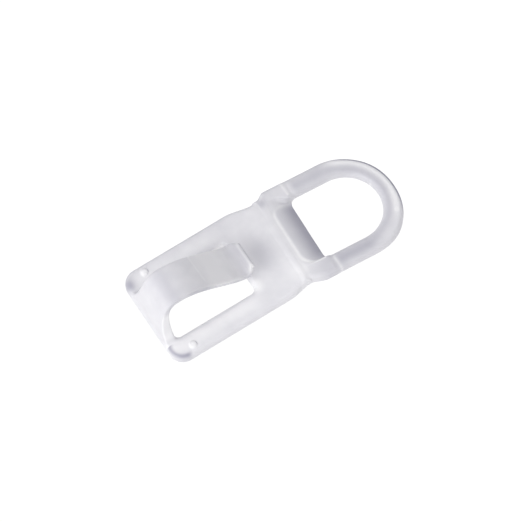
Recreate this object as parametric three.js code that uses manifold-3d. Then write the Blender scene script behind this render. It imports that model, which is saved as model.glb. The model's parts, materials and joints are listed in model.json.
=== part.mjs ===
// Spring clip with a ring: one soft clear plastic moulding, built as its natural sections.
// The frame half (end bar, two side rails, shoulder plate) carries a wall and a spring tongue
// over its window. The ring half (crossbar, two arms, bow) takes a cord, strap or finger.
// Millimetres, +Z up, +X from the hook end towards the ring. The clip rests as a very flat arch:
// on its end bar and on the far end of the ring.
import * as THREE from 'three';
import { mergeVertices } from 'three/addons/utils/BufferGeometryUtils.js';
import Module from 'manifold-3d';

const wasm = await Module();
wasm.setup();

// ---- driving dimensions -------------------------------------------------------------------
const FRAME_LENGTH = 26.7;      // outer face of the end bar to the middle of the waist
const FRAME_WIDTH = 19.0;
const FRAME_THICKNESS = 2.4;
const CORNER_RADIUS = 2.8;      // outer corners of the end bar
const EDGE_ROUND = 0.7;         // rounding along every moulded edge of the frame and ring
const WAIST_HALF_WIDTH = 8.5;
const TAPER_START = 21.0;       // the plate narrows to the waist between these
const TAPER_END = 26.2;
const WINDOW_START = 2.3;
const WINDOW_END = 18.4;
const WINDOW_WIDTH = 10.5;
const WINDOW_CORNER = 1.1;

const RING_LENGTH = 22.7;       // waist to the far end of the bow
const RING_WIDTH = 19.0;
const RING_THICKNESS = 2.2;
const CROSSBAR_THICKNESS = 2.5;
const FLARE_END = 2.2;          // the ring half widens from the waist to here
const EYE_START = 5.4;          // crossbar edge of the eye, from the waist
const EYE_WIDTH = 12.7;
const EYE_END_WALL = 3.3;       // thickness of the bow at its far end
const EYE_CORNER = 1.3;
const ARM_START = EYE_START + 0.3;   // one clearance beyond the crossbar
const BOW_START = 13.6;
const SCOOP_START = 1.4;        // where the crossbar's top begins to slope down into the eye
const SCOOP_LIP_Z = -0.45;      // height of the lip that is left at the eye
const SCOOP_BULGE = 0.95;       // how far the slope stays near the top before it falls

const FRAME_TILT = -2.33;       // degrees, hook end down
const RING_TILT = 2.73;         // degrees, far end of the ring down
const RING_TURN = -1.2;         // degrees about the upright, the soft ring half sits slightly askew

const GAP = 0.3;                // clearance between neighbouring sections
const TONGUE_EDGE_ROUND = 0.35;
const WALL_HINGE_Z = FRAME_THICKNESS / 2 + GAP / 2;
const BEND_CUT = [3.15, 9.7];   // middle of the cut between wall and blade, on the bend
const BEND_CUT_ANGLE = 50;      // degrees that the centreline climbs at that cut
const TIP_START = 16.9;
const BOSS_X = 4.2;             // one small round boss on each rail
const BOSS_Y = 7.9;
const BOSS_RADIUS = 0.65;
const BOSS_HEIGHT = 0.25;
const BOSS_ROOT = 0.5;          // how deep a boss reaches into its rail
const FAR = 60;                 // further than any part of the clip reaches

// The wall and tongue, along the middle of the sheet: [x from the end bar's outer face, height
// above the frame's middle plane, half of the thickness, half of the width].
const SHEET_LINE = [
  [1.10, 0.0, 1.10, 5.9],
  [1.15, 1.6, 1.08, 5.3],
  [1.35, 3.4, 0.95, 4.5],
  [1.60, 5.4, 0.82, 3.95],
  [1.95, 7.2, 0.72, 3.6],
  [2.50, 8.8, 0.66, 3.45],
  [3.30, 9.85, 0.64, 3.4],
  [4.40, 10.35, 0.62, 3.4],
  [5.70, 10.40, 0.60, 3.4],
  [6.95, 10.15, 0.60, 3.4],
  [8.80, 9.40, 0.60, 3.4],
  [10.70, 8.25, 0.60, 3.4],
  [12.60, 6.85, 0.60, 3.4],
  [14.50, 5.42, 0.60, 3.4],
  [16.10, 4.30, 0.60, 3.4],
  [17.20, 3.72, 0.60, 3.4],
  [18.10, 3.52, 0.58, 3.4],
  [18.90, 3.65, 0.55, 3.35],
  [19.60, 4.00, 0.45, 3.2],
];

// ---- helpers ------------------------------------------------------------------------------
function toSolid(geometry) {
  const bare = geometry.clone();
  bare.deleteAttribute('normal');
  bare.deleteAttribute('uv');
  const merged = mergeVertices(bare, 1e-5);
  return new wasm.Manifold(new wasm.Mesh({
    numProp: 3,
    vertProperties: new Float32Array(merged.attributes.position.array),
    triVerts: new Uint32Array(merged.index.array),
  }));
}

function toGeometry(solid) {
  const mesh = solid.getMesh();
  const geometry = new THREE.BufferGeometry();
  geometry.setAttribute('position', new THREE.BufferAttribute(new Float32Array(mesh.vertProperties), 3));
  geometry.setIndex(new THREE.BufferAttribute(new Uint32Array(mesh.triVerts), 1));
  geometry.computeVertexNormals();
  return geometry;
}

// A plate with rounded edges: the outline lies in XY and the plate is centred on z = 0.
function roundedPlate(outline, thickness, round) {
  const geometry = new THREE.ExtrudeGeometry(outline, {
    depth: thickness - 2 * round,
    bevelEnabled: true,
    bevelThickness: round,
    bevelSize: round,
    bevelOffset: -round,
    bevelSegments: 4,
    curveSegments: 12,
  });
  geometry.translate(0, 0, -(thickness - 2 * round) / 2);
  return toSolid(geometry);
}

function boxBetween(low, high) {
  const size = high.map((value, i) => value - low[i]);
  const geometry = new THREE.BoxGeometry(...size);
  geometry.translate(...low.map((value, i) => value + size[i] / 2));
  return toSolid(geometry);
}

// An outline drawn in the XZ plane becomes a bar along Y, centred on y = 0.
function barAlongY(outline, halfWidth) {
  const geometry = new THREE.ExtrudeGeometry(outline, {
    depth: 2 * halfWidth,
    bevelEnabled: false,
    curveSegments: 10,
  });
  geometry.translate(0, 0, -halfWidth);
  geometry.rotateX(Math.PI / 2);
  return toSolid(geometry);
}

function keepX(solid, low, high) {
  return solid.intersect(boxBetween([low, -FAR, -FAR], [high, FAR, FAR]));
}

// ---- frame half ---------------------------------------------------------------------------
function frameOutline() {
  const half = FRAME_WIDTH / 2;
  const waist = WAIST_HALF_WIDTH;
  const r = CORNER_RADIUS;
  const bend = (TAPER_START + TAPER_END) / 2;
  const shape = new THREE.Shape();
  shape.moveTo(r, -half);
  shape.lineTo(TAPER_START, -half);
  shape.bezierCurveTo(bend, -half, bend, -waist, TAPER_END, -waist);
  shape.lineTo(FRAME_LENGTH + GAP, -waist);
  shape.lineTo(FRAME_LENGTH + GAP, waist);
  shape.lineTo(TAPER_END, waist);
  shape.bezierCurveTo(bend, waist, bend, half, TAPER_START, half);
  shape.lineTo(r, half);
  shape.absarc(r, half - r, r, Math.PI / 2, Math.PI, false);
  shape.lineTo(0, -half + r);
  shape.absarc(r, -half + r, r, Math.PI, 1.5 * Math.PI, false);
  shape.holes.push(roundedWindow(WINDOW_START, WINDOW_END, WINDOW_WIDTH / 2, WINDOW_CORNER));
  return shape;
}

function roundedWindow(start, end, half, r) {
  const path = new THREE.Path();
  path.moveTo(start + r, -half);
  path.absarc(start + r, -half + r, r, 1.5 * Math.PI, Math.PI, true);
  path.absarc(start + r, half - r, r, Math.PI, Math.PI / 2, true);
  path.absarc(end - r, half - r, r, Math.PI / 2, 0, true);
  path.absarc(end - r, -half + r, r, 0, -Math.PI / 2, true);
  path.closePath();
  return path;
}

function boss(y) {
  const geometry = new THREE.CylinderGeometry(BOSS_RADIUS * 0.8, BOSS_RADIUS, BOSS_HEIGHT + BOSS_ROOT, 16);
  geometry.rotateX(Math.PI / 2);
  geometry.translate(BOSS_X, y, FRAME_THICKNESS / 2 + (BOSS_HEIGHT - BOSS_ROOT) / 2);
  return toSolid(geometry);
}

function buildFrame() {
  const plate = roundedPlate(frameOutline(), FRAME_THICKNESS, EDGE_ROUND);
  const rails = keepX(plate, WINDOW_START + GAP, WINDOW_END - GAP);
  const left = boxBetween([0, 0, -FAR], [FAR, FAR, FAR]);
  const right = boxBetween([0, -FAR, -FAR], [FAR, 0, FAR]);
  return {
    end_bar: keepX(plate, -FAR, WINDOW_START),
    rail_left: rails.intersect(left).add(boss(BOSS_Y)),
    rail_right: rails.intersect(right).add(boss(-BOSS_Y)),
    shoulder_plate: keepX(plate, WINDOW_END, FRAME_LENGTH - GAP / 2),
  };
}

// ---- wall and spring tongue ---------------------------------------------------------------
// A sheet with rounded edges, swept along SHEET_LINE.
function sweptSheet(stations, edgeSteps) {
  const middle = new THREE.CatmullRomCurve3(SHEET_LINE.map((p) => new THREE.Vector3(p[0], p[1], 0)));
  const sizes = new THREE.CatmullRomCurve3(SHEET_LINE.map((p) => new THREE.Vector3(p[2], p[3], 0)));
  const positions = [];
  const faces = [];
  const around = 4 * (edgeSteps + 1);
  for (let i = 0; i <= stations; i += 1) {
    const t = i / stations;
    const point = middle.getPoint(t);
    const tangent = middle.getTangent(t).normalize();
    const size = sizes.getPoint(t);
    const r = Math.min(TONGUE_EDGE_ROUND, size.x * 0.8);
    for (let corner = 0; corner < 4; corner += 1) {
      const across = corner === 0 || corner === 3 ? 1 : -1;
      const outward = corner < 2 ? 1 : -1;
      for (let k = 0; k <= edgeSteps; k += 1) {
        const angle = (corner + k / edgeSteps) * Math.PI / 2;
        const y = across * (size.y - r) + r * Math.cos(angle);
        const n = outward * (size.x - r) + r * Math.sin(angle);
        positions.push(point.x - tangent.y * n, y, point.y + tangent.x * n);
      }
    }
  }
  for (let i = 0; i < stations; i += 1) {
    for (let j = 0; j < around; j += 1) {
      const a = i * around + j;
      const b = i * around + (j + 1) % around;
      faces.push(a, b, a + around, b, b + around, a + around);
    }
  }
  const last = stations * around;
  for (let j = 1; j < around - 1; j += 1) {
    faces.push(0, j + 1, j);
    faces.push(last, last + j, last + j + 1);
  }
  const geometry = new THREE.BufferGeometry();
  geometry.setAttribute('position', new THREE.BufferAttribute(new Float32Array(positions), 3));
  geometry.setIndex(faces);
  return toSolid(geometry);
}

function buildTongue() {
  const sheet = sweptSheet(56, 3);
  // A slab square to the sheet on the bend parts the wall from the blade.
  const slab = new THREE.BoxGeometry(GAP, FRAME_WIDTH, 4);
  const beyond = new THREE.BoxGeometry(FAR, FRAME_WIDTH, FAR);
  beyond.translate(FAR / 2, 0, 0);
  for (const geometry of [slab, beyond]) {
    geometry.rotateY(THREE.MathUtils.degToRad(-BEND_CUT_ANGLE));
    geometry.translate(BEND_CUT[0], 0, BEND_CUT[1]);
  }
  const cut = toSolid(slab);
  const bladeSide = toSolid(beyond);
  const aboveBar = boxBetween([-FAR, -FAR, WALL_HINGE_Z + GAP / 2], [FAR, FAR, FAR]);
  return {
    hook_wall: sheet.intersect(aboveBar).subtract(bladeSide).subtract(cut),
    tongue: sheet.intersect(bladeSide).subtract(cut),
  };
}

// ---- ring half ----------------------------------------------------------------------------
function ringOutline() {
  const half = RING_WIDTH / 2;
  const waist = WAIST_HALF_WIDTH;
  const centre = RING_LENGTH - half;
  const bend = FLARE_END / 2;
  const shape = new THREE.Shape();
  shape.moveTo(-GAP, -waist);
  shape.lineTo(0, -waist);
  shape.bezierCurveTo(bend, -waist, bend, -half, FLARE_END, -half);
  shape.lineTo(centre, -half);
  shape.absarc(centre, 0, half, -Math.PI / 2, Math.PI / 2, false);
  shape.lineTo(FLARE_END, half);
  shape.bezierCurveTo(bend, half, bend, waist, 0, waist);
  shape.lineTo(-GAP, waist);
  shape.closePath();

  const eyeHalf = EYE_WIDTH / 2;
  const eyeCentre = RING_LENGTH - EYE_END_WALL - eyeHalf;
  const r = EYE_CORNER;
  const eye = new THREE.Path();
  eye.moveTo(EYE_START + r, -eyeHalf);
  eye.absarc(EYE_START + r, -eyeHalf + r, r, 1.5 * Math.PI, Math.PI, true);
  eye.absarc(EYE_START + r, eyeHalf - r, r, Math.PI, Math.PI / 2, true);
  eye.absarc(eyeCentre, 0, eyeHalf, Math.PI / 2, -Math.PI / 2, true);
  eye.closePath();
  shape.holes.push(eye);
  return shape;
}

// The pocket that slopes the crossbar's top down into the eye.
function scoop() {
  const top = CROSSBAR_THICKNESS / 2;
  const bend = (SCOOP_START + EYE_START) / 2 + GAP;
  const shape = new THREE.Shape();
  shape.moveTo(SCOOP_START, top);
  shape.quadraticCurveTo(bend, SCOOP_BULGE, EYE_START, SCOOP_LIP_Z);
  shape.lineTo(FAR, SCOOP_LIP_Z);
  shape.lineTo(FAR, FAR);
  shape.lineTo(SCOOP_START, FAR);
  shape.closePath();
  return barAlongY(shape, EYE_WIDTH / 2);
}

function buildRing() {
  const thick = roundedPlate(ringOutline(), CROSSBAR_THICKNESS, EDGE_ROUND);
  const band = roundedPlate(ringOutline(), RING_THICKNESS, EDGE_ROUND);
  const arms = keepX(band, ARM_START, BOW_START - GAP / 2);
  const left = boxBetween([0, 0, -FAR], [FAR, FAR, FAR]);
  const right = boxBetween([0, -FAR, -FAR], [FAR, 0, FAR]);
  return {
    crossbar: keepX(thick, GAP / 2, EYE_START).subtract(scoop()),
    ring_arm_left: arms.intersect(left),
    ring_arm_right: arms.intersect(right),
    ring_bow: keepX(band, BOW_START + GAP / 2, FAR),
  };
}

// ---- assembly -----------------------------------------------------------------------------
const framePlace = new THREE.Matrix4()
  .makeRotationY(THREE.MathUtils.degToRad(FRAME_TILT))
  .multiply(new THREE.Matrix4().makeTranslation(-FRAME_LENGTH, 0, 0));
const ringPlace = new THREE.Matrix4()
  .makeRotationY(THREE.MathUtils.degToRad(RING_TILT))
  .multiply(new THREE.Matrix4().makeRotationZ(THREE.MathUtils.degToRad(RING_TURN)));

const frame = buildFrame();
const { hook_wall: hookWall, tongue } = buildTongue();
const ring = buildRing();
const sections = [
  ['end_bar', frame.end_bar, framePlace],
  ['rail_left', frame.rail_left, framePlace],
  ['rail_right', frame.rail_right, framePlace],
  ['shoulder_plate', frame.shoulder_plate, framePlace],
  ['hook_wall', hookWall, framePlace],
  ['tongue_blade', keepX(tongue, -FAR, TIP_START - GAP / 2), framePlace],
  ['tongue_tip', keepX(tongue, TIP_START + GAP / 2, FAR), framePlace],
  ['crossbar', ring.crossbar, ringPlace],
  ['ring_arm_left', ring.ring_arm_left, ringPlace],
  ['ring_arm_right', ring.ring_arm_right, ringPlace],
  ['ring_bow', ring.ring_bow, ringPlace],
];

const group = new THREE.Group();
group.name = 'ring_spring_clip';
const bounds = new THREE.Box3();
for (const [name, solid, place] of sections) {
  const geometry = toGeometry(solid);
  geometry.applyMatrix4(place);
  geometry.computeBoundingBox();
  bounds.union(geometry.boundingBox);
  const material = new THREE.MeshStandardMaterial({ color: 0xe4e2ec, roughness: 0.35, metalness: 0 });
  const mesh = new THREE.Mesh(geometry, material);
  mesh.name = name;
  group.add(mesh);
}

// The row's origin is the middle of the bounding box, at its base.
const centre = bounds.getCenter(new THREE.Vector3());
for (const mesh of group.children) {
  mesh.geometry.translate(-centre.x, -centre.y, -bounds.min.z);
}

export default group;
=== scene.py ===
"""Looks of the ring spring clip: one soft, milky clear plastic moulding on a white light table.

The clip is described once as a distance field in millimetres, in the frame half's own axes: x from
the end bar's outer face towards the ring, z up from the frame's middle plane. The field is turned
into one seamless skin, the skin is parted into the same sections as the CAD model, and each
section but the two that bend with the spring tongue rides on its CAD body; those two stay where they are
built.
"""
import json
import math

import bmesh
import bpy
import numpy as np
from mathutils import Matrix, Vector


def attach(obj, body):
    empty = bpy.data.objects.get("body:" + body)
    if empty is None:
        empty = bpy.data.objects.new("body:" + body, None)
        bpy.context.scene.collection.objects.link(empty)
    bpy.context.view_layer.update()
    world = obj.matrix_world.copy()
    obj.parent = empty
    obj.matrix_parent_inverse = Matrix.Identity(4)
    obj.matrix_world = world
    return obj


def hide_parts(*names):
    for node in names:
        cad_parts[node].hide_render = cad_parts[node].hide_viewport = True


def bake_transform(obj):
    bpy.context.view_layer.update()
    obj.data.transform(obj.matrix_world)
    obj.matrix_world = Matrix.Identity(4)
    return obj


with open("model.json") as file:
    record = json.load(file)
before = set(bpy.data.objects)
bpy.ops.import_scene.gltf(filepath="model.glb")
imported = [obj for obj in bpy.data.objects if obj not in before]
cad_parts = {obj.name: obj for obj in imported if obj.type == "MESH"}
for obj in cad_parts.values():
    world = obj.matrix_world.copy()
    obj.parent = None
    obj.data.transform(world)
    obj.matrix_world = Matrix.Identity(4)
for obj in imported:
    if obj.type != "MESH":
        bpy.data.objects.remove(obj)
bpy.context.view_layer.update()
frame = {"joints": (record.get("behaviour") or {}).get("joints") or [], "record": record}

MM = 0.001

# ---- driving dimensions, in millimetres and degrees ----------------------------------------
FRAME_LENGTH = 26.7  # outer face of the end bar to the middle of the waist
FRAME_HALF_WIDTH = 9.5
FRAME_THICKNESS = 2.4
FRAME_EDGE = 0.95
CORNER_RADIUS = 2.8
WAIST_HALF_WIDTH = 8.65
TAPER_START = 21.0  # the plate narrows to the waist between these
TAPER_END = 26.4
RIGHT_TAPER_LAG = 1.6  # the right side starts to narrow this much later
WINDOW_START = 2.3
WINDOW_END = 18.4
WINDOW_HALF_WIDTH = 5.25
WINDOW_CORNER = 1.1

RING_LENGTH = 22.52  # waist to the far end of the bow
RING_HALF_WIDTH = 9.68
RING_THICKNESS = 2.2
RING_EDGE = 0.95
CROSSBAR_THICKNESS = 2.5
LEFT_SHOULDER = 2.0  # length of the flare from the waist to the ring, on each side
RIGHT_SHOULDER = 4.0
EYE_START = 5.44  # crossbar edge of the eye, from the waist
EYE_HALF_WIDTH = 6.29
EYE_END_WALL = 3.12
EYE_CORNER = 1.3
BAND_STEP = 5.75  # where the thicker crossbar meets the ring band
BAND_STEP_HALF = 0.5
SCOOP_START = 1.3  # the crossbar's top slopes down from here to the eye
SCOOP_CORNER = 2.4
SCOOP_BACK = 0.9  # the scoop's outline reaches this much further back than its slope
SCOOP_LIP_Z = -0.45
SCOOP_FIRST_SLOPE = 0.3  # share of the fall that is straight, the rest gets steeper
SCOOP_LEAN = 0.7  # how far the scoop's left end leans outwards for each millimetre of height
SCOOP_EDGE = 0.2  # roundings where the scoop meets the top, and at its foot
SCOOP_FOOT = 0.5
RING_BEND = 5.06  # the ring half is bent down from the frame's plane
RING_TURN = -2.0  # and sits slightly askew
RING_SHIFT = 0.15  # to the left of the frame half
BOW_SKEW = 0.35  # the far end of the bow leans to the right
BOW_POWER = 2.12  # 2 is a round bow, more is squarer
WAIST_OVERLAP = 0.5  # the two halves run this far into each other
WAIST_BLEND = 0.6

# The middle of the wall and tongue: x, z, half thickness, half width.
SHEET_LINE = np.array([
    (1.30, 0.5, 0.95, 5.9),
    (1.30, 1.8, 0.95, 5.3),
    (1.40, 3.4, 0.90, 4.5),
    (1.60, 5.4, 0.82, 3.95),
    (1.95, 7.2, 0.72, 3.6),
    (2.50, 8.8, 0.66, 3.45),
    (3.30, 9.85, 0.64, 3.4),
    (4.40, 10.35, 0.62, 3.4),
    (5.70, 10.40, 0.60, 3.4),
    (6.95, 10.15, 0.60, 3.4),
    (8.80, 9.40, 0.60, 3.4),
    (10.70, 8.25, 0.60, 3.4),
    (12.60, 6.85, 0.60, 3.4),
    (14.50, 5.42, 0.60, 3.4),
    (16.10, 4.30, 0.60, 3.4),
    (17.20, 3.72, 0.60, 3.4),
    (18.10, 3.52, 0.58, 3.4),
    (18.90, 3.65, 0.55, 3.35),
    (19.60, 4.00, 0.45, 3.2),
])
SHEET_EDGE = 0.35
TIP_CORNER = 1.0
ROOT_FILLET = 0.6
BOSS_X = 4.2
BOSS_Y = 7.9
BOSS_RADIUS = 0.7
BOSS_HEIGHT = 0.28
BOSS_FILLET = 0.1

# Where the sections part, as in the CAD model.
HINGE_Z = 1.35
WALL_FOOT = (1.15, 0.0, HINGE_Z)
BEND = (3.15, 0.0, 9.7)
BEND_CLIMB = 50.0
TIP_START = 16.9
END_BAR_CUT = 2.45
PLATE_CUT = 18.25
ARM_CUT = 5.55
BOW_CUT = 13.6
FOOT_END = 5.0  # the cut through the wall's foot stops here
HOOK_END = 21.0  # the wall and tongue stay within this length and this far from the middle
HOOK_SIDE = 6.6

SKIN_LOW = np.array([-0.8, -10.9, -4.0])  # a box with some room round the clip
SKIN_HIGH = np.array([50.2, 10.6, 11.9])
SKIN_STEP = 0.17  # size of a skin cell
RELAX_ROUNDS = 3
RELAX_SHARE = 0.6  # how far a skin point moves to the middle of its neighbours in a round
GRADIENT_REACH = 0.03
SHEET_REACH = 3.0  # beyond the tongue's tip by this much, the sheet isn't measured
OFF_SHEET = (10.0, 0.5, 3.0)  # distance, half thickness and half width that count there
BATCH = 20000  # points measured against the sheet at a time

# The plastic's colour at its deepest painted shade and its brightest painted light, and the tones where
# these are reached.
DEEPEST_PAINTED_SHADE = 0.35
BRIGHTEST_PAINTED_LIGHT = 1.22
PAINTED_SHADE_COLOUR = (0.26, 0.255, 0.345, 1)
PAINTED_LIGHT_COLOUR = (1.0, 0.995, 1.0, 1)

# Painted light and shade spots: centre, reach in millimetres, and how much lighter it is painted there;
# below zero is painted shade.
FRAME_PAINTED_SPOTS = (
    ((18.9, -4.5, 0.8), (0.9, 1.3, 2.0), 0.33),  # painted highlight at the right corner of the window's end
    ((27.0, -6.3, 1.2), (2.6, 1.8, 1.0), 0.10),  # painted light on the right side of the waist
    ((17.6, 5.2, 0.3), (1.0, 0.5, 0.9), 0.30),  # painted light at the left corner of the window's end
    ((22.7, -0.2, 1.2), (1.9, 3.2, 1.0), -0.17),  # painted shadow of the tongue's tip on the plate
    ((0.8, 7.2, 0.5), (1.0, 1.3, 1.6), -0.55),  # painted shade at the left outer corner of the end bar
)
# Painted highlight on the right corner of the tongue's tip: centre, reach in millimetres, how much
# lighter.
TIP_HIGHLIGHT = ((19.6, -3.0, 4.4), (0.8, 0.8, 0.9), 0.55)
BOW_GLINTS = (  # in the ring half's axes
    ((18.85, 1.96, 0.2), (0.3, 0.3, 0.8), 0.35),
    ((20.35, -4.6, 1.0), (0.3, 0.3, 0.8), 0.35),
)

# The camera: a long lens, high above the hook end's right side. Degrees, millimetres and metres.
CAMERA_AZIMUTH = -30.42
CAMERA_ELEVATION = 66.16
CAMERA_ROLL = -1.855
CAMERA_LENS = 276.8
CAMERA_DISTANCE = 0.68715
CAMERA_AIM = Vector((-0.0021, 0.00014, 0))


# ---- placing the moulding in the row's frame ------------------------------------------------
def rotation_y(degrees):
    c, s = math.cos(math.radians(degrees)), math.sin(math.radians(degrees))
    return np.array([[c, 0, s], [0, 1, 0], [-s, 0, c]])


def rotation_z(degrees):
    c, s = math.cos(math.radians(degrees)), math.sin(math.radians(degrees))
    return np.array([[c, -s, 0], [s, c, 0], [0, 0, 1]])


mounts = {m["name"]: m for m in frame["record"]["mounts"]}
joints = {j["name"]: j for j in frame["joints"]}
seat_normal = mounts["strap_seat"]["axis"]
FRAME_TURN = rotation_y(math.degrees(math.atan2(seat_normal[0], seat_normal[2])))
FRAME_ORIGIN = np.array(joints["wall_flex"]["pos_m"]) / MM - FRAME_TURN @ np.array(WALL_FOOT)
WAIST = np.array([FRAME_LENGTH, RING_SHIFT, 0.0])
RING_TURNS = rotation_y(RING_BEND) @ rotation_z(RING_TURN)


def to_row(points):
    """Points of the frame half, in millimetres, become points of the row, in metres."""
    return (np.asarray(points, float) @ FRAME_TURN.T + FRAME_ORIGIN) * MM


def to_ring(x, y, z):
    """Coordinates of the frame half become those of the ring half, measured from the waist."""
    x, y, z = np.broadcast_arrays(x - FRAME_LENGTH, y - RING_SHIFT, z)
    return tuple(sum(RING_TURNS[i, j] * v for i, v in enumerate((x, y, z))) for j in range(3))


# ---- distance fields --------------------------------------------------------------------------
def smoothstep(low, high, value):
    t = np.clip((value - low) / (high - low), 0, 1)
    return t * t * (3 - 2 * t)


def smooth_min(a, b, radius):
    h = np.clip(radius - np.abs(a - b), 0, None) / radius
    return np.minimum(a, b) - h * h * radius / 4


def smooth_max(a, b, radius):
    return -smooth_min(-a, -b, radius)


def rounded_corner(a, b, radius):
    """Two distances meet in a corner of this radius."""
    outside = np.hypot(np.maximum(a + radius, 0), np.maximum(b + radius, 0))
    return outside + np.minimum(np.maximum(a, b) + radius, 0) - radius


def frame_field(x, y, z):
    narrowing = smoothstep(TAPER_START, TAPER_END, x - RIGHT_TAPER_LAG * (y < 0))
    half = FRAME_HALF_WIDTH - (FRAME_HALF_WIDTH - WAIST_HALF_WIDTH) * narrowing
    outline = rounded_corner(-x, np.abs(y) - half, CORNER_RADIUS)
    outline = np.maximum(outline, x - FRAME_LENGTH - WAIST_OVERLAP)
    middle = (WINDOW_START + WINDOW_END) / 2
    reach = (WINDOW_END - WINDOW_START) / 2
    window = rounded_corner(np.abs(x - middle) - reach, np.abs(y) - WINDOW_HALF_WIDTH, WINDOW_CORNER)
    plan = np.maximum(outline, -window)
    return rounded_corner(plan, np.abs(z) - FRAME_THICKNESS / 2, FRAME_EDGE)


def ring_field(x, y, z):
    u, v, w = to_ring(x, y, z)
    flare = smoothstep(0.0, np.where(v > 0, LEFT_SHOULDER, RIGHT_SHOULDER), u)
    half = WAIST_HALF_WIDTH + (RING_HALF_WIDTH - WAIST_HALF_WIDTH) * flare
    bow_centre = RING_LENGTH - RING_HALF_WIDTH
    straight = np.maximum(np.abs(v) - half, -u - WAIST_OVERLAP)
    across = v + BOW_SKEW * smoothstep(bow_centre, bow_centre + 7, u)
    around = (np.abs(u - bow_centre) ** BOW_POWER + np.abs(across) ** BOW_POWER) ** (1 / BOW_POWER)
    outline = np.where(u > bow_centre, around - RING_HALF_WIDTH, straight)
    eye_centre = RING_LENGTH - EYE_END_WALL - EYE_HALF_WIDTH
    squared = rounded_corner(EYE_START - u, np.abs(v) - EYE_HALF_WIDTH, EYE_CORNER)
    eye = np.where(u > eye_centre, np.hypot(u - eye_centre, v) - EYE_HALF_WIDTH, squared)
    plan = np.maximum(outline, -eye)
    step = smoothstep(BAND_STEP - BAND_STEP_HALF, BAND_STEP + BAND_STEP_HALF, u)
    thickness = CROSSBAR_THICKNESS + (RING_THICKNESS - CROSSBAR_THICKNESS) * step
    band = rounded_corner(plan, np.abs(w) - thickness / 2, RING_EDGE)
    return smooth_max(band, -scoop_field(u, v, w), SCOOP_EDGE)


def scoop_field(u, v, w):
    """The space above the slope that runs from the crossbar's top down to the eye's lip."""
    top = CROSSBAR_THICKNESS / 2
    run = np.clip((u - SCOOP_START) / (EYE_START - SCOOP_START), 0, 1)
    fall = SCOOP_FIRST_SLOPE * run + (1 - SCOOP_FIRST_SLOPE) * run ** 2
    slope = top - (top - SCOOP_LIP_Z) * fall + 0.4 * np.maximum(SCOOP_START - u, 0)
    lean = SCOOP_LEAN * np.maximum(w - SCOOP_LIP_Z, 0) * (v > 0) * (1 - smoothstep(3.0, EYE_START, u))
    behind = SCOOP_START - SCOOP_BACK - u
    plan = rounded_corner(behind, np.abs(v) - EYE_HALF_WIDTH - lean, SCOOP_CORNER)
    plan = np.maximum(plan, u - EYE_START - 1.2)
    return smooth_max(plan, (slope - w) * 0.85, SCOOP_FOOT)


def spline(points, steps):
    """Catmull-Rom curve through the rows of points."""
    p = np.vstack([2 * points[0] - points[1], points, 2 * points[-1] - points[-2]])
    t = (np.arange(steps) / steps)[None, :, None]
    a, b, c, d = (p[i:len(p) - 3 + i, None, :] for i in range(4))
    curve = b + 0.5 * t * (c - a + t * (2 * a - 5 * b + 4 * c - d + t * (3 * (b - c) + d - a)))
    return np.vstack([curve.reshape(-1, points.shape[1]), points[-1:]])


SHEET = spline(SHEET_LINE, 6)


def sheet_section(x, z):
    """Distance to the sheet's middle line, and the sheet's half thickness and half width there."""
    near = np.flatnonzero(np.ravel(x) <= SHEET[-1, 0] + SHEET_REACH)
    flat_x, flat_z = np.ravel(x)[near], np.ravel(z)[near]
    start, run = SHEET[:-1, :2], np.diff(SHEET[:, :2], axis=0)
    length = np.hypot(run[:, 0], run[:, 1])
    travelled = np.concatenate([[0], np.cumsum(length)])
    distance, half_thick, half_wide = (np.empty(flat_x.size) for _ in range(3))
    for low in range(0, flat_x.size, BATCH):
        part = slice(low, low + BATCH)
        dx = flat_x[part, None] - start[None, :, 0]
        dz = flat_z[part, None] - start[None, :, 1]
        t = np.clip((dx * run[:, 0] + dz * run[:, 1]) / length ** 2, 0, 1)
        away = np.hypot(dx - t * run[:, 0], dz - t * run[:, 1])
        nearest = away.argmin(axis=1)
        rows = np.arange(nearest.size)
        t = t[rows, nearest]
        distance[part] = away[rows, nearest]
        here = SHEET[nearest, 2:] * (1 - t[:, None]) + SHEET[nearest + 1, 2:] * t[:, None]
        left = np.clip(travelled[-1] - travelled[nearest] - t * length[nearest], 0, TIP_CORNER)
        rounding = 0.55 * TIP_CORNER * (1 - left / TIP_CORNER) ** 2
        half_thick[part] = here[:, 0]
        half_wide[part] = here[:, 1] - rounding
    measures = []
    for beyond, measured in zip(OFF_SHEET, (distance, half_thick, half_wide)):
        everywhere = np.full(np.size(x), beyond)
        everywhere[near] = measured
        measures.append(everywhere.reshape(np.shape(x)))
    return measures


def sheet_field(x, y, z):
    distance, half_thick, half_wide = sheet_section(*np.broadcast_arrays(x, z))
    return rounded_corner(distance - half_thick, np.abs(y) - half_wide, SHEET_EDGE)


def boss_field(x, y, z):
    flat = np.hypot(x - BOSS_X, np.abs(y) - BOSS_Y) / BOSS_RADIUS
    tall = (z - FRAME_THICKNESS / 2) / BOSS_HEIGHT
    return (np.sqrt(flat ** 2 + tall ** 2) - 1) * BOSS_HEIGHT


def clip_field(x, y, z):
    body = smooth_min(frame_field(x, y, z), ring_field(x, y, z), WAIST_BLEND)
    body = smooth_min(body, boss_field(x, y, z), BOSS_FILLET)
    return smooth_min(body, sheet_field(x, y, z), ROOT_FILLET)


def gradient(points):
    """Outward directions of the clip's surface."""
    normal = np.empty_like(points)
    for axis in range(3):
        step = np.zeros(3)
        step[axis] = GRADIENT_REACH
        ahead, behind = points + step, points - step
        normal[:, axis] = clip_field(*ahead.T) - clip_field(*behind.T)
    return normal / np.linalg.norm(normal, axis=1, keepdims=True)


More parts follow.
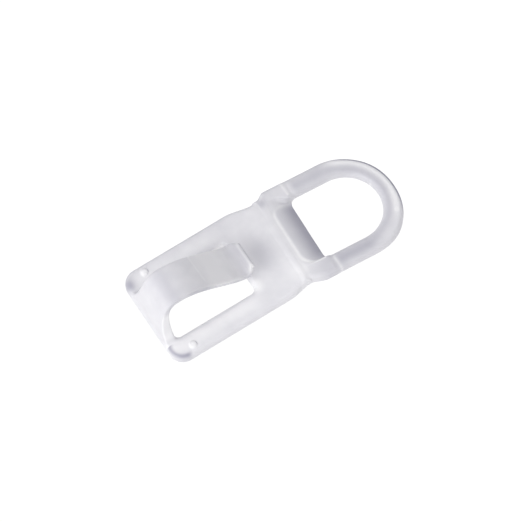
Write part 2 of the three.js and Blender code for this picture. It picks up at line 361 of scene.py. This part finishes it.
# ---- skin ---------------------------------------------------------------------------------------
def surface_net(values, low, step):
    """Quads of the surface where a grid of values changes sign, one vertex in each cell it crosses."""
    inside = values < 0
    shape = np.array(values.shape) - 1
    corners = [(i, j, k) for i in (0, 1) for j in (0, 1) for k in (0, 1)]

    def at(grid, corner):
        return grid[tuple(slice(c, c + n) for c, n in zip(corner, shape))]

    count = sum(at(inside, c).astype(np.int8) for c in corners)
    crossed = (count > 0) & (count < 8)
    cells = np.argwhere(crossed)
    number = np.full(shape, -1)
    number[crossed] = np.arange(len(cells))
    total, hits = np.zeros((len(cells), 3)), np.zeros(len(cells))
    for a in corners:
        for axis in range(3):
            if a[axis]:
                continue
            b = tuple(1 if i == axis else c for i, c in enumerate(a))
            va, vb = at(values, a)[crossed], at(values, b)[crossed]
            cut = (va < 0) != (vb < 0)
            t = np.where(cut, va / np.where(cut, va - vb, 1), 0)
            point = np.array(a, float) + t[:, None] * (np.array(b) - np.array(a))
            total += np.where(cut[:, None], point, 0)
            hits += cut
    points = low + (cells + total / hits[:, None]) * step
    quads = []
    for axis in range(3):
        one, two = (axis + 1) % 3, (axis + 2) % 3
        ahead = np.roll(inside, -1, axis)
        edge = inside != ahead
        edge[tuple(slice(-1, None) if i == axis else slice(None) for i in range(3))] = False
        for rising in (False, True):
            where = np.argwhere(edge & (inside == rising))
            ring = []
            for back_one, back_two in ((0, 0), (1, 0), (1, 1), (0, 1)):
                cell = where.copy()
                cell[:, one] -= back_one
                cell[:, two] -= back_two
                ring.append(number[tuple(cell.T)])
            quad = np.stack(ring, axis=1)
            quads.append(quad if rising else quad[:, ::-1])
    return points, np.vstack(quads)


def relax(points, quads):
    """Evens out the skin's cells while keeping every vertex on the surface."""
    starts, ends = np.vstack([quads[:, [i, (i + 1) % 4]] for i in range(4)]).T
    count = len(points)
    neighbours = np.bincount(starts, minlength=count) + np.bincount(ends, minlength=count)
    for _ in range(RELAX_ROUNDS):
        total = np.zeros_like(points)
        for axis in range(3):
            total[:, axis] = np.bincount(starts, points[ends, axis], count)
            total[:, axis] += np.bincount(ends, points[starts, axis], count)
        points = points + RELAX_SHARE * (total / neighbours[:, None] - points)
        points = points - clip_field(*points.T)[:, None] * gradient(points)
    return points


def make_skin():
    x, y, z = (np.arange(a, b, SKIN_STEP) for a, b in zip(SKIN_LOW, SKIN_HIGH))
    values = clip_field(x[:, None, None], y[None, :, None], z[None, None, :])
    points, quads = surface_net(values, SKIN_LOW, SKIN_STEP)
    return relax(points, quads), quads


# ---- sections -------------------------------------------------------------------------------------
RING_FORWARD = RING_TURNS[:, 0]
BEND_FORWARD = np.array([math.cos(math.radians(BEND_CLIMB)), 0, math.sin(math.radians(BEND_CLIMB))])


def is_hook(p):
    return (p[:, 2] > HINGE_Z) & (np.abs(p[:, 1]) < HOOK_SIDE) & (p[:, 0] < HOOK_END)


def is_flat(p):
    return ~is_hook(p)


def near_foot(p):
    return (np.abs(p[:, 1]) < HOOK_SIDE) & (p[:, 0] < FOOT_END)


# Each cut: a point, the plane's normal, and the part of the skin that it parts.
CUTS = [
    (WALL_FOOT, (0, 0, 1), near_foot),
    (BEND, BEND_FORWARD, is_hook),
    ((TIP_START, 0, 0), (1, 0, 0), is_hook),
    ((END_BAR_CUT, 0, 0), (1, 0, 0), is_flat),
    ((PLATE_CUT, 0, 0), (1, 0, 0), is_flat),
    ((FRAME_LENGTH, 0, 0), (1, 0, 0), is_flat),
    (WAIST + RING_FORWARD * ARM_CUT, RING_FORWARD, is_flat),
    (WAIST + RING_FORWARD * BOW_CUT, RING_FORWARD, is_flat),
]


def section_names(p):
    """The section that each face centre belongs to."""
    along_bend = (p - np.array(BEND)) @ BEND_FORWARD
    along_ring = (p - WAIST) @ RING_FORWARD
    left = p[:, 1] > 0
    flat = np.select(
        [p[:, 0] < END_BAR_CUT, p[:, 0] < PLATE_CUT, p[:, 0] < FRAME_LENGTH, along_ring < ARM_CUT,
         along_ring < BOW_CUT],
        ["end_bar", np.where(left, "rail_left", "rail_right"), "shoulder_plate", "crossbar",
         np.where(left, "ring_arm_left", "ring_arm_right")],
        "ring_bow")
    hook = np.select([along_bend < 0, p[:, 0] < TIP_START], ["hook_wall", "tongue_blade"], "tongue_tip")
    return np.where(is_hook(p), hook, flat)


def face_centres(bm):
    return np.array([f.calc_center_median() for f in bm.faces])


def cut_skin(points, quads):
    mesh = bpy.data.meshes.new("skin")
    mesh.from_pydata(points.tolist(), [], quads.tolist())
    bm = bmesh.new()
    bm.from_mesh(mesh)
    bpy.data.meshes.remove(mesh)
    for point, normal, region in CUTS:
        bm.faces.ensure_lookup_table()
        chosen = [f for f, use in zip(bm.faces, region(face_centres(bm))) if use]
        geometry = set(chosen)
        for f in chosen:
            geometry.update(f.edges)
            geometry.update(f.verts)
        bmesh.ops.bisect_plane(
            bm, geom=list(geometry), dist=1e-4, plane_co=Vector(point), plane_no=Vector(normal))
    return bm


def make_sections(bm):
    """One closed object for each section, with the skin's own normals so that no seam shows."""
    bm.verts.index_update()
    bm.faces.ensure_lookup_table()
    points = np.array([v.co for v in bm.verts])
    names = section_names(face_centres(bm))
    faces = [[v.index for v in f.verts] for f in bm.faces]
    made = {}
    for name in sorted(set(names)):
        own = [faces[i] for i in np.flatnonzero(names == name)]
        used = np.unique(np.concatenate([np.array(f) for f in own]))
        renumber = dict(zip(used.tolist(), range(len(used))))
        made[name] = build_section(name, points[used], [[renumber[v] for v in f] for f in own])
    return made


def build_section(name, points, faces):
    mesh = bpy.data.meshes.new(name)
    mesh.from_pydata(points.tolist(), [], faces)
    bm = bmesh.new()
    bm.from_mesh(mesh)
    rim = [e for e in bm.edges if e.is_boundary]
    capped = bmesh.ops.holes_fill(bm, edges=rim, sides=0)["faces"]
    for face in capped:
        face.material_index = 1
    bmesh.ops.recalc_face_normals(bm, faces=capped)
    bm.to_mesh(mesh)
    bm.free()
    co = np.array([v.co for v in mesh.vertices])
    normals = gradient(co)
    # The tone attribute carries the painted light and shade.
    mesh.attributes.new("tone", "FLOAT", "POINT").data.foreach_set("value", tone(co, normals))
    mesh.vertices.foreach_set("co", to_row(co).ravel())
    mesh.update()
    mesh.polygons.foreach_set("use_smooth", [True] * len(mesh.polygons))
    mesh.normals_split_custom_set_from_vertices((normals @ FRAME_TURN.T).tolist())
    piece = bpy.data.objects.new("clip_" + name, mesh)
    bpy.context.scene.collection.objects.link(piece)
    return piece


# ---- painted light and shade on the milky plastic -------------------------------------------------
def hump(value, middle, reach):
    """1 at the middle, falling smoothly to 0 on both sides."""
    return np.exp(-((value - middle) / reach) ** 2)


def painted_spot_tone(points, spots, where=1.0):
    """Painted light and shade from soft spots, where they apply."""
    light = np.ones(len(points))
    for centre, reach, gain in spots:
        away = (points - np.array(centre)) / np.array(reach)
        light *= 1 + gain * where * np.exp(-(away ** 2).sum(axis=1))
    return light


def scoop_painted_shade(v, run, outline, in_scoop, upper):
    """A painted highlight on a ridge round the scoop, then painted shade deepening all the way down to the
    eye's lip.
    """
    ends = smoothstep(4.4, 6.0, np.abs(v)) * (0.5 + 0.25 * (v > 0))
    light = 1 - in_scoop * (0.10 + 0.32 * smoothstep(0.15, 1.0, run) * (1 - ends))
    light *= 1 + 0.25 * in_scoop * hump(v, EYE_HALF_WIDTH - 0.3, 0.6)
    ridge = hump(outline, 0, 0.3) * (run < 0.9) * (1 - smoothstep(4.0, 6.0, v))
    return light * (1 + 0.20 * ridge * upper)


def turned_painted_shade(points, normals, u, v, flat, in_scoop):
    """Painted shade on faces that look away from the light, over the ring's end, on outer edges facing
    left, and on the turn under every edge.
    """
    x, y, _ = points.T
    away = normals[:, 0] + 0.55 * smoothstep(11.5, 17, u) * normals[:, 1]
    eye_corner = smoothstep(5.7, 6.1, v) * (u > 5) * (u < 8)
    away = smoothstep(0.4, 0.8, away) * smoothstep(3, 6, x) * (1 - eye_corner)
    light = 1 - 0.74 * flat * (1 - in_scoop) * away
    outer = smoothstep(7.6, 8.4, np.abs(y)) * flat
    light *= 1 - 0.30 * outer * smoothstep(0.45, 0.9, normals[:, 1])
    down = -normals[:, 2]
    return light * (1 - 0.42 * smoothstep(0.1, 0.4, down) * (1 - smoothstep(0.8, 0.97, down)))


def band_painted_light(u, v, upper):
    """The ring's band gets painted shade along its middle, which on the bow leaves a painted highlight
    stripe outside it.
    """
    from_middle = np.hypot(np.maximum(u - (RING_LENGTH - RING_HALF_WIDTH), 0), v)
    bow = smoothstep(12, 16.5, u)
    arms = smoothstep(6.2, 7.4, u) * (1 - bow)
    light = 1 - (0.20 + 0.09 * (v < 0)) * arms * hump(from_middle, 7.9, 1.2) * upper
    light *= 1 - 0.18 * bow * hump(from_middle, 7.3, 0.8) * upper
    light *= 1 + 0.30 * bow * hump(from_middle, 8.8, 0.6) * smoothstep(-7, -2, v) * upper
    light *= 1 - 0.13 * hump(u, 4.6, 2.2) * (v < -6.6) * upper
    step_line = u - BAND_STEP - 0.15 + 0.065 * v
    light *= 1 + 0.16 * hump(step_line, 0, 0.25) * (np.abs(v) > 6.9) * upper
    return light * (1 - 0.24 * hump(u, 0.6, 1.0) * hump(v, 7.6, 0.9) * upper)


def frame_painted_light(points, u, flat, upper):
    """Painted light on the rails and the window's end, painted shadow of the tongue on the plate, painted
    shade in the corners, painted highlights on the bosses.
    """
    x, y, _ = points.T
    rails = hump(np.abs(y), 6.9, 1.5) * (1 - smoothstep(15, 20, x))
    light = 1 + (0.13 + 0.06 * (y < 0)) * rails * upper
    light *= painted_spot_tone(points, FRAME_PAINTED_SPOTS, flat)
    light *= 1 + 0.04 * smoothstep(19, 21, x) * (u < SCOOP_START) * upper
    from_corner = np.hypot(x - CORNER_RADIUS, y + FRAME_HALF_WIDTH - CORNER_RADIUS)
    in_corner = smoothstep(-0.8, 0.4, CORNER_RADIUS - x) * (y < -6.0)
    light *= 1 - 0.50 * hump(from_corner, 2.3, 0.4) * in_corner * upper
    from_boss = np.hypot(x - BOSS_X, np.abs(y) - BOSS_Y)
    return light * (1 + 0.14 * hump(from_boss, 0, 0.7) * upper)


def tongue_painted_light(points, normals, sheet):
    """Painted light and shade on the tongue: an even tone with a faint lighter line across it, a painted
    highlight on the tip and painted light on the right side.
    """
    x, y, z = points.T
    top = sheet * (normals[:, 2] > 0)
    rightwards = -normals[:, 1]
    light = 1 - 0.14 * top * hump(x, 4.3, 1.4)
    light *= 1 - 0.20 * sheet * smoothstep(0.5, 0.9, rightwards) * smoothstep(5, 8, x)
    light *= 1 + 0.26 * top * hump(x, 13.5, 3.2)
    light *= 1 - 0.10 * top * smoothstep(16.3, 17.8, x)
    light *= 1 + 0.06 * top * hump(x, 10.65 - 0.04 * y, 0.16) * (y > -2.0)
    light *= 1 + 0.20 * top * hump(x, 19.5, 0.25)
    light *= painted_spot_tone(points, (TIP_HIGHLIGHT,))
    return light * (1 + 0.20 * sheet * smoothstep(0.4, 0.8, rightwards) * (1 - smoothstep(7.0, 9.0, z)))


def tone(points, normals):
    """Painted light and shade at each skin point; 1 is the plain milk tone.

    Steep places and faces turned from the light get painted shade, thin edges that face it get painted
    highlights.
    """
    x, y, z = points.T
    u, v, w = to_ring(x, y, z)
    sheet = smoothstep(1.3, 2.4, z) * (x < HOOK_END) * (np.abs(y) < HOOK_SIDE)
    flat = 1 - sheet
    upper = smoothstep(-0.9, -0.2, z) * flat
    upper_ring = smoothstep(-0.9, -0.2, w) * (u > 0)
    outline = rounded_corner(SCOOP_START - u, np.abs(v) - EYE_HALF_WIDTH, SCOOP_CORNER)
    run = (u - SCOOP_START) / (EYE_START - SCOOP_START)
    in_scoop = smoothstep(0.0, 0.6, -outline) * (run < 1.15) * upper_ring

    light = scoop_painted_shade(v, run, outline, in_scoop, upper_ring)
    light *= turned_painted_shade(points, normals, u, v, flat, in_scoop)
    light *= band_painted_light(u, v, upper_ring)
    light *= frame_painted_light(points, u, flat, upper)
    light *= tongue_painted_light(points, normals, sheet)
    return light * painted_spot_tone(np.stack([u, v, w], axis=1), BOW_GLINTS)


# ---- materials --------------------------------------------------------------------------------------
def new_material(name):
    material = bpy.data.materials.new(name)
    material.use_nodes = True
    material.node_tree.nodes.clear()
    return material, material.node_tree.nodes, material.node_tree.links


def noise(nodes, links, coordinates, scale, detail, out_low, out_high):
    """Smooth noise, spread between two values."""
    texture = nodes.new("ShaderNodeTexNoise")
    texture.inputs["Scale"].default_value = scale
    texture.inputs["Detail"].default_value = detail
    links.new(coordinates, texture.inputs["Vector"])
    spread = nodes.new("ShaderNodeMapRange")
    spread.inputs["From Min"].default_value = 0.3
    spread.inputs["From Max"].default_value = 0.7
    spread.inputs["To Min"].default_value = out_low
    spread.inputs["To Max"].default_value = out_high
    links.new(texture.outputs["Fac"], spread.inputs["Value"])
    return spread.outputs["Result"]


def clear_plastic():
    """Milky moulding plastic: cloudy body coloured with painted light and shade, a little light through
    it, faint ripple on the surface.
    """
    material, nodes, links = new_material("milky_clear_plastic")
    place = nodes.new("ShaderNodeTexCoord").outputs["Object"]
    haze = noise(nodes, links, place, scale=260, detail=3, out_low=0.30, out_high=0.42)
    ripple = noise(nodes, links, place, scale=900, detail=2, out_low=0.0, out_high=1.0)
    bump = nodes.new("ShaderNodeBump")
    bump.inputs["Strength"].default_value = 0.10
    bump.inputs["Distance"].default_value = 0.00005
    links.new(ripple, bump.inputs["Height"])

    # Painted light and shade from the tone attribute, with slight random clouding, become the colour.
    tone_here = nodes.new("ShaderNodeAttribute")
    tone_here.attribute_name = "tone"
    cloud = noise(nodes, links, place, scale=420, detail=4, out_low=0.97, out_high=1.03)
    clouded = nodes.new("ShaderNodeMath")
    clouded.operation = "MULTIPLY"
    links.new(tone_here.outputs["Fac"], clouded.inputs[0])
    links.new(cloud, clouded.inputs[1])
    spread = nodes.new("ShaderNodeMapRange")
    spread.inputs["From Min"].default_value = DEEPEST_PAINTED_SHADE
    spread.inputs["From Max"].default_value = BRIGHTEST_PAINTED_LIGHT
    links.new(clouded.outputs["Value"], spread.inputs["Value"])
    ramp = nodes.new("ShaderNodeValToRGB")
    ramp.color_ramp.elements[0].color = PAINTED_SHADE_COLOUR
    ramp.color_ramp.elements[1].color = PAINTED_LIGHT_COLOUR
    links.new(spread.outputs["Result"], ramp.inputs["Fac"])

    body = nodes.new("ShaderNodeBsdfPrincipled")
    body.inputs["Transmission Weight"].default_value = 0.15
    body.inputs["IOR"].default_value = 1.46
    links.new(ramp.outputs["Color"], body.inputs["Base Color"])
    links.new(haze, body.inputs["Roughness"])
    links.new(bump.outputs["Normal"], body.inputs["Normal"])
    through = nodes.new("ShaderNodeBsdfTranslucent")
    links.new(ramp.outputs["Color"], through.inputs["Color"])
    blend = nodes.new("ShaderNodeMixShader")
    blend.inputs["Fac"].default_value = 0.25
    links.new(body.outputs["BSDF"], blend.inputs[1])
    links.new(through.outputs["BSDF"], blend.inputs[2])
    output = nodes.new("ShaderNodeOutputMaterial")
    links.new(blend.outputs["Shader"], output.inputs["Surface"])
    return material


def inside_plastic():
    """The sections are one plastic, so the faces where they part don't show."""
    material, nodes, links = new_material("inside_plastic")
    clear = nodes.new("ShaderNodeBsdfTransparent")
    output = nodes.new("ShaderNodeOutputMaterial")
    links.new(clear.outputs["BSDF"], output.inputs["Surface"])
    return material


# ---- studio -------------------------------------------------------------------------------------------
def make_floor():
    """A white light table under the clip."""
    material, nodes, links = new_material("light_table")
    glow = nodes.new("ShaderNodeEmission")
    glow.inputs["Color"].default_value = (1, 1, 1, 1)
    glow.inputs["Strength"].default_value = 1.05
    output = nodes.new("ShaderNodeOutputMaterial")
    links.new(glow.outputs["Emission"], output.inputs["Surface"])
    bpy.ops.mesh.primitive_plane_add(size=4, location=(0, 0, -0.0002))
    floor = bpy.context.object
    floor.name = "light_table"
    floor.data.materials.append(material)


def make_world():
    """Soft light from above and the left, falling off to a dark room on the right."""
    world = bpy.data.worlds.new("studio")
    bpy.context.scene.world = world
    world.use_nodes = True
    nodes, links = world.node_tree.nodes, world.node_tree.links
    nodes.clear()
    direction = nodes.new("ShaderNodeTexCoord").outputs["Generated"]
    side = nodes.new("ShaderNodeVectorMath")
    side.operation = "DOT_PRODUCT"
    side.inputs[1].default_value = Vector((-0.6, -0.1, 1.0)).normalized()
    links.new(direction, side.inputs[0])
    ramp = nodes.new("ShaderNodeValToRGB")
    ramp.color_ramp.elements[0].position = 0.3
    ramp.color_ramp.elements[0].color = (0.10, 0.10, 0.11, 1)
    ramp.color_ramp.elements[1].position = 0.7
    ramp.color_ramp.elements[1].color = (1.0, 1.0, 1.01, 1)
    half = nodes.new("ShaderNodeMapRange")
    half.inputs["From Min"].default_value = -1
    half.inputs["From Max"].default_value = 1
    links.new(side.outputs["Value"], half.inputs["Value"])
    links.new(half.outputs["Result"], ramp.inputs["Fac"])
    background = nodes.new("ShaderNodeBackground")
    background.inputs["Strength"].default_value = 1.0
    links.new(ramp.outputs["Color"], background.inputs["Color"])
    output = nodes.new("ShaderNodeOutputWorld")
    links.new(background.outputs["Background"], output.inputs["Surface"])


def make_light(name, place, aim, size, power):
    data = bpy.data.lights.new(name, "AREA")
    data.shape = "SQUARE"
    data.size = size
    data.energy = power
    light = bpy.data.objects.new(name, data)
    light.location = place
    light.rotation_euler = (Vector(aim) - Vector(place)).to_track_quat("-Z", "Y").to_euler()
    bpy.context.scene.collection.objects.link(light)


def make_camera():
    angles = (CAMERA_AZIMUTH, CAMERA_ELEVATION, CAMERA_ROLL)
    azimuth, elevation, roll = (math.radians(angle) for angle in angles)
    back = Vector((
        math.sin(azimuth) * math.cos(elevation),
        -math.cos(azimuth) * math.cos(elevation),
        math.sin(elevation)))
    data = bpy.data.cameras.new("camera")
    data.lens = CAMERA_LENS
    data.sensor_width = 36
    data.clip_start = 0.01
    data.clip_end = 20
    camera = bpy.data.objects.new("camera", data)
    turn = (-back).to_track_quat("-Z", "Y").to_matrix().to_4x4() @ Matrix.Rotation(roll, 4, "Z")
    camera.matrix_world = Matrix.Translation(CAMERA_AIM + back * CAMERA_DISTANCE) @ turn
    bpy.context.scene.collection.objects.link(camera)
    bpy.context.scene.camera = camera


# ---- build ----------------------------------------------------------------------------------------------
make_camera()
make_floor()
make_world()
make_light("soft_key", place=(-0.5, -0.12, 0.28), aim=(0, 0, 0), size=0.35, power=1.6)
bpy.context.scene.view_settings.view_transform = "Standard"

sections = make_sections(cut_skin(*make_skin()))
plastic, inside = clear_plastic(), inside_plastic()
body_of_node = {n: b for b, group in frame["record"]["behaviour"]["bodies"].items() for n in group}
for name, piece in sections.items():
    piece.data.materials.append(plastic)
    piece.data.materials.append(inside)
    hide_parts(name)
    if name == "hook_wall":
        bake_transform(piece)
    elif name == "tongue_blade":
        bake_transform(piece)
    else:
        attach(piece, body_of_node[name])
